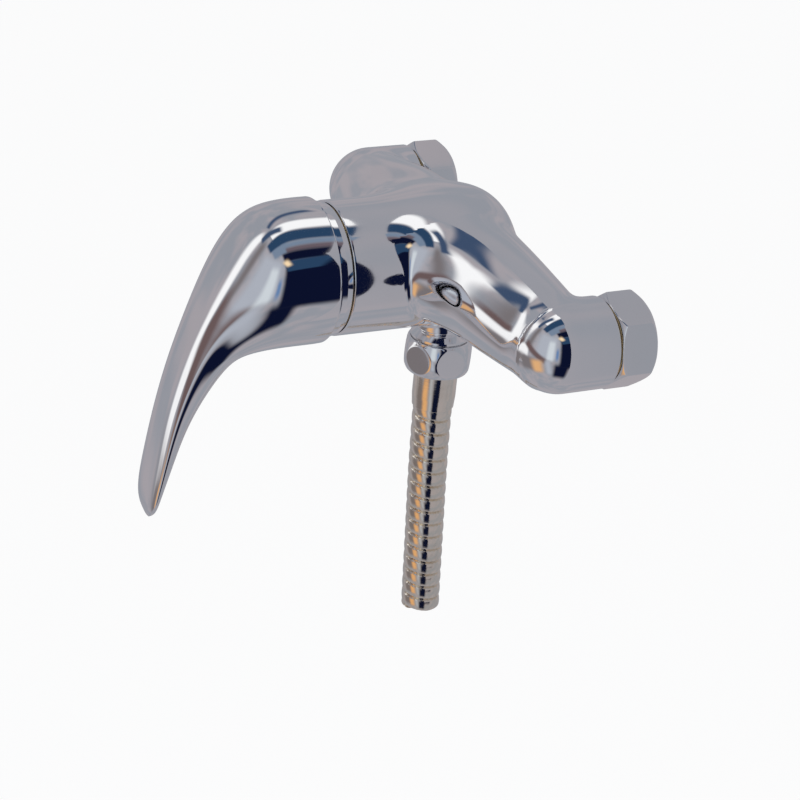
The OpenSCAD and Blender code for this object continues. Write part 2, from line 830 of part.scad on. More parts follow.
module collar() {
    front = collar_w + collar_dome;
    flat = sqrt(dome_r * dome_r - front * front);
    color("silver")
    at_front()
        difference() {
            intersection() {
                translate([0, 0, collar_gap])
                    cylinder(r = collar_r, h = front - collar_gap);
                sphere(r = dome_r);
            }
            cylinder(r = ring_in_r + seat_fit, h = front);
            translate([0, 0, collar_w])
                cylinder(r1 = ring_in_r + seat_fit, r2 = flat - 0.8, h = front - collar_w + 0.1);
        }
}

// One section of the lever between its top and under edges
function lever_ring(s, n) = [for (i = [0:n - 1])
    let (a = 360 * i / n, c = sign_pow(cos(a), 2 / s[5]), h = (sign_pow(sin(a), 2 / s[5]) + 1) / 2)
    [s[4] * c, s[3] + (s[1] - s[3]) * h, s[2] + (s[0] - s[2]) * h]];

module lever() {
    socket = stem_w / 2 + 0.05;
    last = len(stations) - 2;
    rings = concat([for (i = [0:last]) for (k = [0:lever_steps - 1])
        lever_ring(between(stations, i, k / lever_steps), lever_sides)],
        [lever_ring(stations[last + 1], lever_sides)]);
    color("silver")
    at_front()
        difference() {
            union() {
                difference() {
                    loft(rings);
                    sphere(r = hood_in_r);
                    translate([0, -core_drop, core_u])
                        sphere(r = core_r);
                }
                translate([0, 0, boss_foot])
                    cylinder(r = boss_r, h = boss_end - boss_foot);
            }
            translate([-socket, -socket, boss_foot - 1])
                cube([2 * socket, 2 * socket, stem_reach + 0.3 - boss_foot + 1]);
            translate([0, 0, grub_u])
                rotate([90, 0, 0])
                    cylinder(r = grub_r + 0.05, h = boss_r + 1);
            translate([0, -boss_r - 1, grub_u])
                rotate([90, 0, 0])
                    cylinder(r = plug_r + 0.05, h = hood_r);
        }
}

module grub_screw() {
    color("dimgray")
    at_front()
        translate([0, -stem_w / 2, grub_u])
            rotate([90, 0, 0])
                difference() {
                    cylinder(r = grub_r, h = grub_len);
                    translate([0, 0, grub_len / 2])
                        cylinder(r = 0.58 * grub_r, h = grub_len, $fn = 6);
                }
}

module index_plug() {
    color("firebrick")
    at_front()
        translate([0, plug_len + plug_sink - hood_r, grub_u])
            rotate([90, 0, 0])
                cylinder(r = plug_r, h = plug_len);
}

body_casting();
inlet_tail(-1);  // inlet_tail_left
inlet_tail(1);  // inlet_tail_right
inlet_nut(-1);  // inlet_nut_left
inlet_nut(1);  // inlet_nut_right
inlet_washer(-1);  // inlet_washer_left
inlet_washer(1);  // inlet_washer_right
inlet_seal(-1);  // inlet_seal_left
inlet_seal(1);  // inlet_seal_right
outlet_nipple();
check_valve_body();
check_valve_poppet();
check_valve_spring();
hose_nut();
hose_washer();
hose_insert();
hose_ferrule();
hose();
hose_inner_tube();
cartridge_base();
base_seal(-port_x, port_y, port_r);  // base_seal_hot
base_seal(port_x, port_y, port_r);  // base_seal_cold
base_seal(0, mixed_y, mixed_r);  // base_seal_mixed
fixed_disc();
moving_disc();
disc_carrier();
cartridge_housing();
turret();
pivot_pin();
stem();
cartridge_nut();
collar();
lever();
grub_screw();
index_plug();
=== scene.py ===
import json
import math

import bmesh
import bpy
import numpy as np
from mathutils import Matrix, Vector


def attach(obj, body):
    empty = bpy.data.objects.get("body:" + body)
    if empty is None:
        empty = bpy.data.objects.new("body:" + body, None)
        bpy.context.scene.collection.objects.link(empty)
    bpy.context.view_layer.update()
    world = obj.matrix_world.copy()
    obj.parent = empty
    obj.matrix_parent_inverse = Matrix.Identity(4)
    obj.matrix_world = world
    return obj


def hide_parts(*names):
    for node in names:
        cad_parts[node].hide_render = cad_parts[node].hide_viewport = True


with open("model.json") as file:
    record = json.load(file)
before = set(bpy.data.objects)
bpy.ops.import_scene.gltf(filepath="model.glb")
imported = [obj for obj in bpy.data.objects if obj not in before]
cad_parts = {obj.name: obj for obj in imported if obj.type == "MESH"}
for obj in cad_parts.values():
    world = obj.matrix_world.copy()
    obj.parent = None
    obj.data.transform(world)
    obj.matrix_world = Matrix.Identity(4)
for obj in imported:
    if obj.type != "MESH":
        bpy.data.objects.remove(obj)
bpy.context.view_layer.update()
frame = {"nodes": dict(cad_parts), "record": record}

MM = 0.001

# Sizes of the mixer in millimetres, as in the part's source
BARREL_R, BARREL_LIFT, BARREL_REACH, BARREL_BACK, BACK_ROUND = 24.2, 3.0, 83.5, 15.0, 13.0
HALF_CENTRES, ELBOW_R, ELBOW_Y, ELBOW_REAR = 75.0, 16.0, 31.0, -15.2
ARM_ROOT_R, ARM_END_R, ARM_FLARE, FLARE_START, FLARE_WIDTH = 21.8, 15.4, 9.0, 44, 26
ARM_SWEEP, ARM_RISE, ELBOWS_FROM = 6.5, 6, 55
OUTLET_Y, BOSS_R, BOSS_Z = 35.0, 10.0, -24.6
COLLAR_W, COLLAR_GAP, COLLAR_DOME = 5.8, 0.5, 3.4
RIM_IN_R, HOOD_IN_R, CORE_U, CORE_R, CORE_JOIN = 24.9, 25.57, 15.0, 21.0, 19.9
NUT_AF, NUT_LEN, NUT_TURN, NUT_THREAD_R, NUT_NECK_R, NUT_LIP = 30.0, 14.0, 41.0, 12.06, 10.1, 2.2
HOSE_NUT_AF, HOSE_NUT_TOP, HOSE_NUT_FOOT, HOSE_NUT_TURN = 24.0, -28.8, -42.0, 26.0
HOSE_NUT_BALL, HOSE_NUT_BORE_R, HOSE_NUT_BORE_LEN, HOSE_NUT_NECK_R = 13.2, 10.48, 3.4, 6.96
FERRULE_R, FERRULE_TOP, FERRULE_FOOT = 8.15, -42.4, -57.0
HOSE_R, HOSE_PITCH, HOSE_BORE_R, GROOVE_DEPTH, BAND_CROWN = 7.4, 5.55, 5.4, 1.5, 0.28
PICTURE_SIDE, NEARLY_STRAIGHT = 800, 1.55


# Camera

def camera_at(eye, turn, tilt, roll, focal):
    """A camera for a square picture, with its place in millimetres and its focal length in pixels."""
    a, e, r = (math.radians(v) for v in (turn, tilt, roll))
    right = Vector((math.cos(a), math.sin(a), 0))
    back = Vector((math.sin(a) * math.cos(e), -math.cos(a) * math.cos(e), math.sin(e)))
    up = back.cross(right)
    x = right * math.cos(r) + up * math.sin(r)
    y = up * math.cos(r) - right * math.sin(r)
    data = bpy.data.cameras.new("view")
    data.sensor_fit, data.sensor_width = "HORIZONTAL", 36
    data.lens = focal / PICTURE_SIDE * data.sensor_width
    data.clip_start, data.clip_end = 0.01, 20
    camera = bpy.data.objects.new("view", data)
    bpy.context.scene.collection.objects.link(camera)
    camera.matrix_world = Matrix.Translation(Vector(eye) * MM) @ Matrix((x, y, back)).transposed().to_4x4()
    bpy.context.scene.camera = camera
    return camera


camera_at(eye=(685.51, -416.45, 323.98), turn=61.8, tilt=25.9, roll=5.7, focal=2331)


# Meshes

def piece_from(name, points, faces, normals=None):
    """A smooth mesh from points in millimetres and lists of corners."""
    mesh = bpy.data.meshes.new(name)
    mesh.from_pydata((np.asarray(points, float) * MM).tolist(), [], [list(map(int, f)) for f in faces])
    mesh.validate()
    mesh.polygons.foreach_set("use_smooth", [True] * len(mesh.polygons))
    if normals is not None:
        mesh.normals_split_custom_set_from_vertices(np.asarray(normals, float).tolist())
    mesh.update()
    piece = bpy.data.objects.new(name, mesh)
    bpy.context.scene.collection.objects.link(piece)
    return piece


def net_around(field, low, high, step):
    """Points and quads of the surface where field is zero, one point in each grid cell it crosses."""
    axes = [np.arange(a, b + step, step) for a, b in zip(low, high)]
    grid = np.stack(np.meshgrid(*axes, indexing="ij"), -1)
    values = field(grid.reshape(-1, 3)).reshape(grid.shape[:3])
    inside = values < 0
    corners = [(i, j, k) for i in (0, 1) for j in (0, 1) for k in (0, 1)]
    size = [n - 1 for n in values.shape]

    def at(array, c):
        return array[c[0]:c[0] + size[0], c[1]:c[1] + size[1], c[2]:c[2] + size[2]]

    count = sum(at(inside, c).astype(np.int8) for c in corners)
    cells = np.argwhere((count > 0) & (count < 8))
    number = np.full(size, -1, np.int64)
    number[tuple(cells.T)] = np.arange(len(cells))
    total, hits = np.zeros((len(cells), 3)), np.zeros(len(cells))
    for axis in range(3):
        for c in corners:
            if c[axis]:
                continue
            d = list(c)
            d[axis] = 1
            va = values[tuple((cells + c).T)]
            vb = values[tuple((cells + d).T)]
            crossing = (va < 0) != (vb < 0)
            t = np.where(crossing, va / np.where(crossing, va - vb, 1), 0)
            spot = cells + np.array(c, float)
            spot[:, axis] += t
            total += spot * crossing[:, None]
            hits += crossing
    points = np.array(low) + step * total / hits[:, None]
    quads = []
    for axis in range(3):
        a, b = [i for i in range(3) if i != axis]
        lo, hi = [slice(None)] * 3, [slice(None)] * 3
        lo[axis], hi[axis] = slice(0, -1), slice(1, None)
        here, there = inside[tuple(lo)], inside[tuple(hi)]
        edges = np.argwhere(here != there)
        along_a, along_b = edges[:, a], edges[:, b]
        edges = edges[(along_a > 0) & (along_b > 0) & (along_a < size[a]) & (along_b < size[b])]
        out = here[tuple(edges.T)]
        ring = []
        for da, db in ((-1, -1), (0, -1), (0, 0), (-1, 0)):
            cell = edges.copy()
            cell[:, a] += da
            cell[:, b] += db
            ring.append(number[tuple(cell.T)])
        quad = np.stack(ring, 1)
        flip = out if axis != 1 else ~out
        quad[~flip] = quad[~flip][:, ::-1]
        quads.append(quad)
    return points, np.concatenate(quads)


def slope(field, points, h=0.02):
    """The gradient of a field at each point."""
    return np.stack([(field(points + h * e) - field(points - h * e)) / (2 * h) for e in np.eye(3)], 1)


def settle(field, points, quads, rounds=3):
    """Evens out the net and lays its points exactly on the surface. Gives the points and their normals."""
    ends = np.concatenate([quads[:, [i, (i + 1) % 4]] for i in range(4)])
    degree = np.bincount(ends.ravel(), minlength=len(points)).astype(float)[:, None]
    for turn in range(rounds + 1):
        if turn:
            near = np.zeros_like(points)
            np.add.at(near, ends[:, 0], points[ends[:, 1]])
            np.add.at(near, ends[:, 1], points[ends[:, 0]])
            points = points + 0.6 * (near / degree - points)
        for _ in range(3):
            g = slope(field, points)
            points = points - g * (field(points) / np.maximum((g * g).sum(1), 1e-4))[:, None]
    g = slope(field, points)
    return points, g / np.linalg.norm(g, axis=1)[:, None]


def blend(a, b, k):
    """The lower of two distances, rounded over k millimetres where they meet."""
    h = np.maximum(k - np.abs(a - b), 0) / k
    return np.minimum(a, b) - h * h * h * k / 6


def bevel(a, b, k):
    """The higher of two distances, with the edge rounded over k millimetres."""
    return -blend(-a, -b, k)


def turned(name, profile, centre, axis, sides=128):
    """A lathe form: profile is pairs of radius and height along the axis, in millimetres."""
    axis = Vector(axis).normalized()
    side = axis.orthogonal().normalized()
    across = axis.cross(side)
    points, faces = [], []
    for r, h in profile:
        for i in range(sides):
            t = 2 * math.pi * i / sides
            points.append(Vector(centre) + axis * h + (side * math.cos(t) + across * math.sin(t)) * r)
    n = len(profile)
    for j in range(n):
        for i in range(sides):
            a, b = j * sides, (j + 1) % n * sides
            faces.append((a + i, a + (i + 1) % sides, b + (i + 1) % sides, b + i))
    return piece_from(name, points, faces)


def rounded(profile, radius, steps=4):
    """The corners of a closed profile, rounded, each with as much radius as its sides leave room for."""
    out = []
    n = len(profile)
    for i, corner in enumerate(profile):
        p = np.array(corner, float)
        a = np.array(profile[i - 1], float) - p
        b = np.array(profile[(i + 1) % n], float) - p
        la, lb = np.linalg.norm(a), np.linalg.norm(b)
        a, b = a / la, b / lb
        half = math.acos(max(-1, min(1, float(a @ b)))) / 2
        if half > NEARLY_STRAIGHT:
            out.append(tuple(p))
            continue
        d = min(radius / math.tan(half), 0.45 * la, 0.45 * lb)
        r = d * math.tan(half)
        mid = (a + b) / np.linalg.norm(a + b)
        c = p + mid * r / math.sin(half)
        start, end = p + a * d - c, p + b * d - c
        for k in range(steps + 1):
            v = start * (1 - k / steps) + end * k / steps
            out.append(tuple(c + v * r / np.linalg.norm(v)))
    return out


def sharpen(piece, degrees=28):
    """Smooth shading that keeps edges sharper than the angle."""
    bpy.context.view_layer.objects.active = piece
    piece.select_set(True)
    bpy.ops.object.shade_smooth_by_angle(angle=math.radians(degrees))
    piece.select_set(False)
    return piece


# Shower hose

HOSE_ROUTE = [(0, -35, -45), (0, -35, -57), (0, -34.24, -83.1), (0, -32.72, -113.55), (0, -31.2, -144)]


def along(route, gap):
    """Evenly spaced points on a smooth curve through the route."""
    p = np.array(route, float)
    p = np.vstack([2 * p[0] - p[1], p, 2 * p[-1] - p[-2]])
    fine = []
    for i in range(1, len(p) - 2):
        a, b, c, d = p[i - 1:i + 3]
        for t in np.linspace(0, 1, 60, endpoint=False):
            fine.append(b + 0.5 * t * (c - a + t * (2 * a - 5 * b + 4 * c - d + t * (3 * (b - c) + d - a))))
    fine = np.array(fine + [p[-2]])
    s = np.concatenate([[0], np.cumsum(np.linalg.norm(np.diff(fine, axis=0), axis=1))])
    wanted = np.linspace(0, s[-1], max(2, round(s[-1] / gap) + 1))
    return np.stack([np.interp(wanted, s, fine[:, k]) for k in range(3)], 1), wanted


def hose_spiral():
    """The interlocked strip: each turn is a slightly crowned band, with a deep groove to the next."""
    centre, s = along(HOSE_ROUTE, 0.22)
    ahead = np.gradient(centre, axis=0)
    ahead /= np.linalg.norm(ahead, axis=1)[:, None]
    side = np.tile([1.0, 0, 0], (len(s), 1))
    across = np.cross(ahead, side)
    sides = 96
    t = 2 * math.pi * np.arange(sides) / sides
    phase = (s[:, None] / HOSE_PITCH + t[None, :] / (2 * math.pi)) % 1

    def ramp(a, b):
        v = np.clip((phase - a) / (b - a), 0, 1)
        return v * v * (3 - 2 * v)

    lip = ramp(0.0, 0.06) * (1 - ramp(0.86, 0.97))
    crown = BAND_CROWN * np.clip(1 - ((phase - 0.46) / 0.44) ** 2, 0, 1)
    radius = HOSE_R - GROOVE_DEPTH + (GROOVE_DEPTH - BAND_CROWN) * lip + crown
    outer = centre[:, None] + radius[..., None] * (
        np.cos(t)[None, :, None] * side[:, None] + np.sin(t)[None, :, None] * across[:, None])
    inner = centre[:, None] + HOSE_BORE_R * (
        np.cos(t)[None, :, None] * side[:, None] + np.sin(t)[None, :, None] * across[:, None])
    m = len(s)
    points = np.concatenate([outer.reshape(-1, 3), inner[[0, -1]].reshape(-1, 3)])
    i = np.arange(sides)
    k = (i + 1) % sides
    rows = [np.stack([j * sides + i, j * sides + k, (j + 1) * sides + k, (j + 1) * sides + i], 1)
            for j in range(m - 1)]
    top, low = m * sides, (m + 1) * sides
    end = (m - 1) * sides
    rows.append(np.stack([top + i, top + k, k, i], 1))
    rows.append(np.stack([end + i, end + k, low + k, low + i], 1))
    rows.append(np.stack([top + i, low + i, low + k, top + k], 1))
    return piece_from("hose_strip", points, np.concatenate(rows))


hose = sharpen(hose_spiral(), 40)
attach(hose, "hose")
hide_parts("hose")

ferrule = sharpen(turned("ferrule_sleeve", rounded([
    (HOSE_R + 0.05, FERRULE_FOOT), (FERRULE_R - 0.3, FERRULE_FOOT), (FERRULE_R - 0.3, FERRULE_FOOT + 0.6),
    (FERRULE_R, FERRULE_FOOT + 4.4), (FERRULE_R, FERRULE_TOP), (3.6, FERRULE_TOP), (3.6, FERRULE_TOP - 2.4),
    (HOSE_R + 0.05, FERRULE_TOP - 2.4)], 0.25), (0, -OUTLET_Y, 0), (0, 0, 1)))
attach(ferrule, "hose")
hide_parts("hose_ferrule")

route_points, route_s = along(HOSE_ROUTE, 4.2)


# Body casting

def arm_distance(p):
    """Distance to both swept arms: ellipses that shrink outwards and flare where they leave the barrel."""
    x, y, z = p.T
    s = np.minimum(np.abs(x) / HALF_CENTRES, 1)
    k = np.clip((FLARE_START - np.abs(x)) / FLARE_WIDTH, 0, 1)
    r = ARM_ROOT_R - (ARM_ROOT_R - ARM_END_R) * s ** 1.6
    dy = y + ELBOW_Y + ARM_SWEEP * (1 - s ** 2.2)
    dz = z - ARM_RISE * (1 - s ** 2)
    ay = np.where(dy < 0, r + ARM_FLARE * k ** 2.4, r)
    az = r - 0.8 * k ** 2
    k1 = np.sqrt((dy / ay) ** 2 + (dz / az) ** 2) + 1e-9
    k2 = np.sqrt((dy / ay ** 2) ** 2 + (dz / az ** 2) ** 2) + 1e-9
    return np.maximum(k1 * (k1 - 1) / k2, np.abs(x) - HALF_CENTRES)


def casting_distance(p):
    """Distance to the barrel, arms, elbows and outlet boss, blended into one casting."""
    x, y, z = p.T
    rho = np.hypot(x, z - BARREL_LIFT)
    qx, qy = rho - (BARREL_R - BACK_ROUND), y + BARREL_BACK + BACK_ROUND
    outside = np.hypot(np.maximum(qx, 0), np.maximum(qy, 0))
    barrel = outside + np.minimum(np.maximum(qx, qy), 0) - BACK_ROUND
    elbow = np.sqrt((np.abs(x) - HALF_CENTRES) ** 2 + np.minimum(y + ELBOW_Y, 0) ** 2 + z ** 2) - ELBOW_R
    boss = np.maximum(np.hypot(x, y + OUTLET_Y) - BOSS_R, z + 10)
    rise = np.clip((z - 8) / 16, 0, 1)
    whole = blend(barrel, arm_distance(p), 3.5 + 9.5 * rise * rise * (3 - 2 * rise))
    whole = blend(whole, elbow, 4)
    return blend(whole, boss, 4)


def close_end(mesh_edit, level, axis, centre, rings):
    """Carries the open rim at a level inwards through rings of radius and level and closes it."""
    others, nearby = [i for i in range(3) if i != axis], 40
    rim = [e for e in mesh_edit.edges if e.is_boundary and all(
        abs(v.co[axis] / MM - level) < 1e-3 and
        sum((v.co[i] / MM - centre[i]) ** 2 for i in others) < nearby ** 2 for v in e.verts)]
    for radius, height in rings:
        made = bmesh.ops.extrude_edge_only(mesh_edit, edges=rim)["geom"]
        for v in (g for g in made if isinstance(g, bmesh.types.BMVert)):
            d = [v.co[i] / MM - centre[i] for i in others]
            k = radius / math.hypot(*d)
            for i, di in zip(others, d):
                v.co[i] = (centre[i] + di * k) * MM
            v.co[axis] = height * MM
        rim = [g for g in made if isinstance(g, bmesh.types.BMEdge)]
    bmesh.ops.contextual_create(mesh_edit, geom=rim)


def casting():
    """The skin of barrel, arms, elbows and boss in one, with its four open ends turned in."""
    points, quads = net_around(casting_distance, (-93.5, -85.4, -28), (93.5, -10, 30), 0.8)
    points, normals = settle(casting_distance, points, quads)
    piece = piece_from("mixer_body", points, quads, normals)
    edit = bmesh.new()
    edit.from_mesh(piece.data)
    front, foot, rear = 0.4 - BARREL_REACH, BOSS_Z + 0.6, ELBOW_REAR - 0.5
    for level, axis, sign, part in ((front, 1, -1, lambda v: True), (foot, 2, -1, lambda v: True),
                                    (rear, 1, 1, lambda v: abs(v.co.x) > ELBOWS_FROM * MM)):
        co, no = Vector(), Vector()
        co[axis], no[axis] = level * MM, sign
        verts = [v for v in edit.verts if part(v)]
        keep = set(verts)
        edges = [e for e in edit.edges if e.verts[0] in keep and e.verts[1] in keep]
        faces = [f for f in edit.faces if all(v in keep for v in f.verts)]
        geometry = verts + edges + faces
        bmesh.ops.bisect_plane(edit, geom=geometry, plane_co=co, plane_no=no, clear_outer=True)
    close_end(edit, front, 1, (0, 0, BARREL_LIFT), [
        (BARREL_R - 0.05, 0.2 - BARREL_REACH), (BARREL_R - 0.2, 0.05 - BARREL_REACH),
        (BARREL_R - 0.4, -BARREL_REACH), (BARREL_R - 2.9, -BARREL_REACH),
        (BARREL_R - 2.9, 8.1 - BARREL_REACH), (BARREL_R - 3.95, 8.1 - BARREL_REACH),
        (BARREL_R - 3.95, 27 - BARREL_REACH)])
    close_end(edit, foot, 2, (0, -OUTLET_Y, 0), [
        (BOSS_R - 0.17, BOSS_Z + 0.17), (BOSS_R - 0.6, BOSS_Z), (8.1, BOSS_Z), (8.1, BOSS_Z + 11)])
    for side in (-1, 1):
        close_end(edit, rear, 1, (side * HALF_CENTRES, 0, 0), [
            (ELBOW_R - 0.15, ELBOW_REAR - 0.15), (ELBOW_R - 0.5, ELBOW_REAR), (11.8, ELBOW_REAR),
            (11.8, ELBOW_REAR - 1.28), (10.5, ELBOW_REAR - 1.28), (10.5, ELBOW_REAR - 11)])
    edit.normal_update()
    edit.to_mesh(piece.data)
    edit.free()
    return piece


body = casting()
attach(body, "body")
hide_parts("body_casting")

collar = turned("collar_ring", rounded([
    (20.7, COLLAR_GAP), (BARREL_R - 0.5, COLLAR_GAP), (BARREL_R, COLLAR_GAP + 2.2),
    (BARREL_R, COLLAR_W - 1.2),
    (23.1, COLLAR_W + COLLAR_DOME), (22.3, COLLAR_W + COLLAR_DOME), (20.7, COLLAR_W)], 0.25, 5),
    (0, -BARREL_REACH, BARREL_LIFT), (0, -1, 0), 192)
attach(sharpen(collar), "body")
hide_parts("collar")


# Lever

# From the hood's rim to the tip: top edge forward and up, under edge forward and up, half width, squareness
LEVER_STATIONS = [
    (6.3, 25.9, 6.3, -26, 26, 2), (9.2, 25.93, 9.2, -26.1, 26.1, 2),
    (21, 25, 19, -26.2, 25.8, 2), (31, 19.8, 28, -26.6, 23.6, 2.1),
    (40.3, 6.4, 36, -28.2, 18.8, 2.4), (49, -12.5, 41.5, -33.3, 14.2, 2.8),
    (55.7, -31.5, 47.3, -42.6, 11.8, 3), (60.5, -51, 53, -54.5, 10.6, 3),
    (63.5, -69, 57.8, -68.6, 10.1, 3), (64.9, -80, 60.8, -79.3, 9.2, 2.8),
    (64.8, -86.3, 62.2, -85.8, 6.6, 2.5), (63.8, -89.4, 63.2, -89.3, 2.2, 2)]

# Radius and distance forward of the hoops round the hood's rim, and where its hollow ends
RIM_HOOPS = [(RIM_IN_R + 0.02, 5.95), (RIM_IN_R + 0.14, 5.81), (25.5, 5.8), (25.78, 5.87), (25.94, 6.04)]
HOLLOW_RIM, HOLLOW_END = 6.3, 24


def fair(rows, count):
    """A curve with even bending through rows of values, sampled at evenly spaced places."""
    rows = np.array(rows, float)
    step = np.linalg.norm(np.diff(rows[:, :4], axis=0), axis=1) ** 0.5
    t = np.concatenate([[0], np.cumsum(step)])
    n = len(t)
    h = np.diff(t)
    matrix, right = np.zeros((n, n)), np.zeros((n, rows.shape[1]))
    matrix[0, 0] = matrix[-1, -1] = 1
    for i in range(1, n - 1):
        matrix[i, i - 1:i + 2] = h[i - 1], 2 * (h[i - 1] + h[i]), h[i]
        right[i] = 6 * ((rows[i + 1] - rows[i]) / h[i] - (rows[i] - rows[i - 1]) / h[i - 1])
    bend = np.linalg.solve(matrix, right)
    out = []
    for v in np.linspace(0, t[-1], count):
        i = min(np.searchsorted(t, v, "right") - 1, n - 2)
        a, b = (t[i + 1] - v) / h[i], (v - t[i]) / h[i]
        out.append(a * rows[i] + b * rows[i + 1]
                   + ((a ** 3 - a) * bend[i] + (b ** 3 - b) * bend[i + 1]) * h[i] ** 2 / 6)
    return np.array(out)


def lever_skin():
    """The hooded lever: a loft from the hood's rim to the tip, and the hollow inside the hood."""
    sides, count = 144, 190
    t = 2 * math.pi * np.arange(sides) / sides
    c, s = np.cos(t), np.sin(t)
    rings = []

    def ring(row):
        u1, v1, u0, v0, half, square = row
        x = half * np.sign(c) * np.abs(c) ** (2 / square)
        h = (np.sign(s) * np.abs(s) ** (2 / square) + 1) / 2
        return np.stack([x, -BARREL_REACH - (u0 + (u1 - u0) * h), BARREL_LIFT + v0 + (v1 - v0) * h], 1)

    def hoop(r, u):
        return np.stack([r * c, np.full(sides, -BARREL_REACH - u), BARREL_LIFT + r * s], 1)

    core = [(math.sqrt(max(CORE_R ** 2 - (u - CORE_U) ** 2, 0.01)), u)
            for u in np.linspace(CORE_U + CORE_R, HOLLOW_END, 24)]
    inner = [(math.sqrt(HOOD_IN_R ** 2 - u ** 2), u) for u in np.linspace(HOLLOW_END, HOLLOW_RIM, 24)]
    rings += [hoop(r, u) for r, u in core if r > 0.2 and u > CORE_JOIN]
    rings += [hoop(r, u) for r, u in inner if u < CORE_JOIN]
    rings += [hoop(r, u) for r, u in RIM_HOOPS]
    rings += [ring(row) for row in fair(LEVER_STATIONS, count)]
    rings = np.array(rings)
    m = len(rings)
    last = rings[-1].mean(0)
    first = rings[0].mean(0)
    points = np.concatenate([rings.reshape(-1, 3), [first, last]])
    i = np.arange(sides)
    k = (i + 1) % sides
    faces = []
    for start in range(0, (m - 1) * sides, sides):
        faces += np.stack([start + i, start + k, start + sides + k, start + sides + i], 1).tolist()
    tip = (m - 1) * sides
    pairs = list(zip(i.tolist(), k.tolist()))
    faces += [(m * sides, b, a) for a, b in pairs]
    faces += [(m * sides + 1, tip + a, tip + b) for a, b in pairs]
    return piece_from("lever_handle", points, faces)


lever = sharpen(lever_skin(), 50)
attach(lever, "lever")
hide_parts("lever")


# Nuts and outlet

def hexagon(a, b, af, turn):
    """Distance to a hexagonal bar across the plane of a and b."""
    far = None
    for i in range(6):
        t = math.radians(turn + 30 + 60 * i)
        d = a * math.cos(t) + b * math.sin(t) - af / 2
        far = d if far is None else bevel(far, d, 0.5)
    return far


def union_nut(side):
    """A hexagonal nut with rounded corners at both ends, threaded towards the wall."""
    def distance(p):
        x, y, z = p[:, 0] - side * HALF_CENTRES, -p[:, 1], p[:, 2]
        r = np.hypot(x, z)
        bar = hexagon(x, z, NUT_AF, NUT_TURN)
        slab = np.abs(y - NUT_LEN / 2) - NUT_LEN / 2
        back = (r - (NUT_AF / 2 - 0.4) - y * 1.1) * 0.67
        front = (r - NUT_AF / 2 - (NUT_LEN - y) * 1.5) * 0.55
        solid = bevel(bevel(bevel(bar, slab, 0.5), back, 0.8), front, 0.8)
        bore = np.maximum(r - NUT_THREAD_R, y - (NUT_LEN - NUT_LIP))
        neck = r - NUT_NECK_R
        return bevel(solid, -np.minimum(bore, neck), 0.4)
    middle, reach, step = side * HALF_CENTRES, 18.3, 0.42
    low, high = (middle - reach, -NUT_LEN - 0.9, -reach), (middle + reach, 0.9, reach)
    points, quads = net_around(distance, low, high, step)
    points, normals = settle(distance, points, quads, 1)
    return piece_from("union_nut_" + ("cold" if side > 0 else "hot"), points, quads, normals)


union_nuts = []
for side, word in ((-1, "left"), (1, "right")):
    nut = union_nut(side)
    union_nuts.append(nut)
    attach(nut, "nut_" + word)
    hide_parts("inlet_nut_" + word)


def hose_nut_form():
    """The hose's hexagonal nut, turned to a ball at its corners."""
    middle, reach, step = (HOSE_NUT_TOP + HOSE_NUT_FOOT) / 2, 14.2, 0.36

    def distance(p):
        x, y, z = p[:, 0], p[:, 1] + OUTLET_Y, p[:, 2]
        r = np.hypot(x, y)
        bar = hexagon(x, y, HOSE_NUT_AF, HOSE_NUT_TURN)
        slab = np.abs(z - middle) - (HOSE_NUT_TOP - HOSE_NUT_FOOT) / 2
        ball = np.sqrt(r ** 2 + (z - middle) ** 2) - HOSE_NUT_BALL
        solid = bevel(bevel(bar, ball, 0.35), slab, 0.6)
        bore = np.maximum(r - HOSE_NUT_BORE_R, HOSE_NUT_FOOT + HOSE_NUT_BORE_LEN - z)
        return bevel(solid, -np.minimum(bore, r - HOSE_NUT_NECK_R), 0.4)
    points, quads = net_around(distance, (-reach, -OUTLET_Y - reach, HOSE_NUT_FOOT - 0.9),
                               (reach, -OUTLET_Y + reach, HOSE_NUT_TOP + 0.9), step)
    points, normals = settle(distance, points, quads, 1)
    return piece_from("hose_coupling", points, quads, normals)


coupling = hose_nut_form()
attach(coupling, "body")
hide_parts("hose_nut")


# Shader trees

class Tree:
    """The nodes of one material or of the world."""

    def __init__(self, owner):
        owner.use_nodes = True
        self.tree = owner.node_tree
        self.tree.nodes.clear()

    def node(self, kind, settings=None, sockets=None, output=0):
        """A node of any kind: its settings are set first, then the values or links of its sockets."""
        made = self.tree.nodes.new("ShaderNode" + kind)
        for name, value in (settings or {}).items():
            if name == "stops":
                ramp = made.color_ramp
                while len(ramp.elements) < len(value):
                    ramp.elements.new(0.5)
                for element, (place, colour) in zip(ramp.elements, value):
                    element.position, element.color = place, (*colour, 1)
            else:
                setattr(made, name, value)
        for name, value in (sockets or {}).items():
            if isinstance(value, Value):
                self.tree.links.new(value.socket, made.inputs[name])
            elif value is not None:
                made.inputs[name].default_value = value
        return Value(self, made.outputs[output]) if len(made.outputs) else None

    def mix(self, factor, first, second):
        """A colour between two colours."""
        paint = [v if isinstance(v, Value) else (*v, 1) for v in (first, second)]
        return self.node("Mix", {"data_type": "RGBA"}, {0: factor, 6: paint[0], 7: paint[1]}, 2)

    def place(self, scale=(1, 1, 1), turn=(0, 0, 0)):
        """Where a point lies on the object, stretched and turned."""
        spot = self.node("TexCoord", output="Object")
        return self.node("Mapping", None, {"Vector": spot, "Scale": scale, "Rotation": turn})

    def noise(self, vector, scale, detail=3.0, rough=0.5):
        sockets = {"Vector": vector, "Scale": scale, "Detail": detail, "Roughness": rough}
        return self.node("TexNoise", None, sockets)


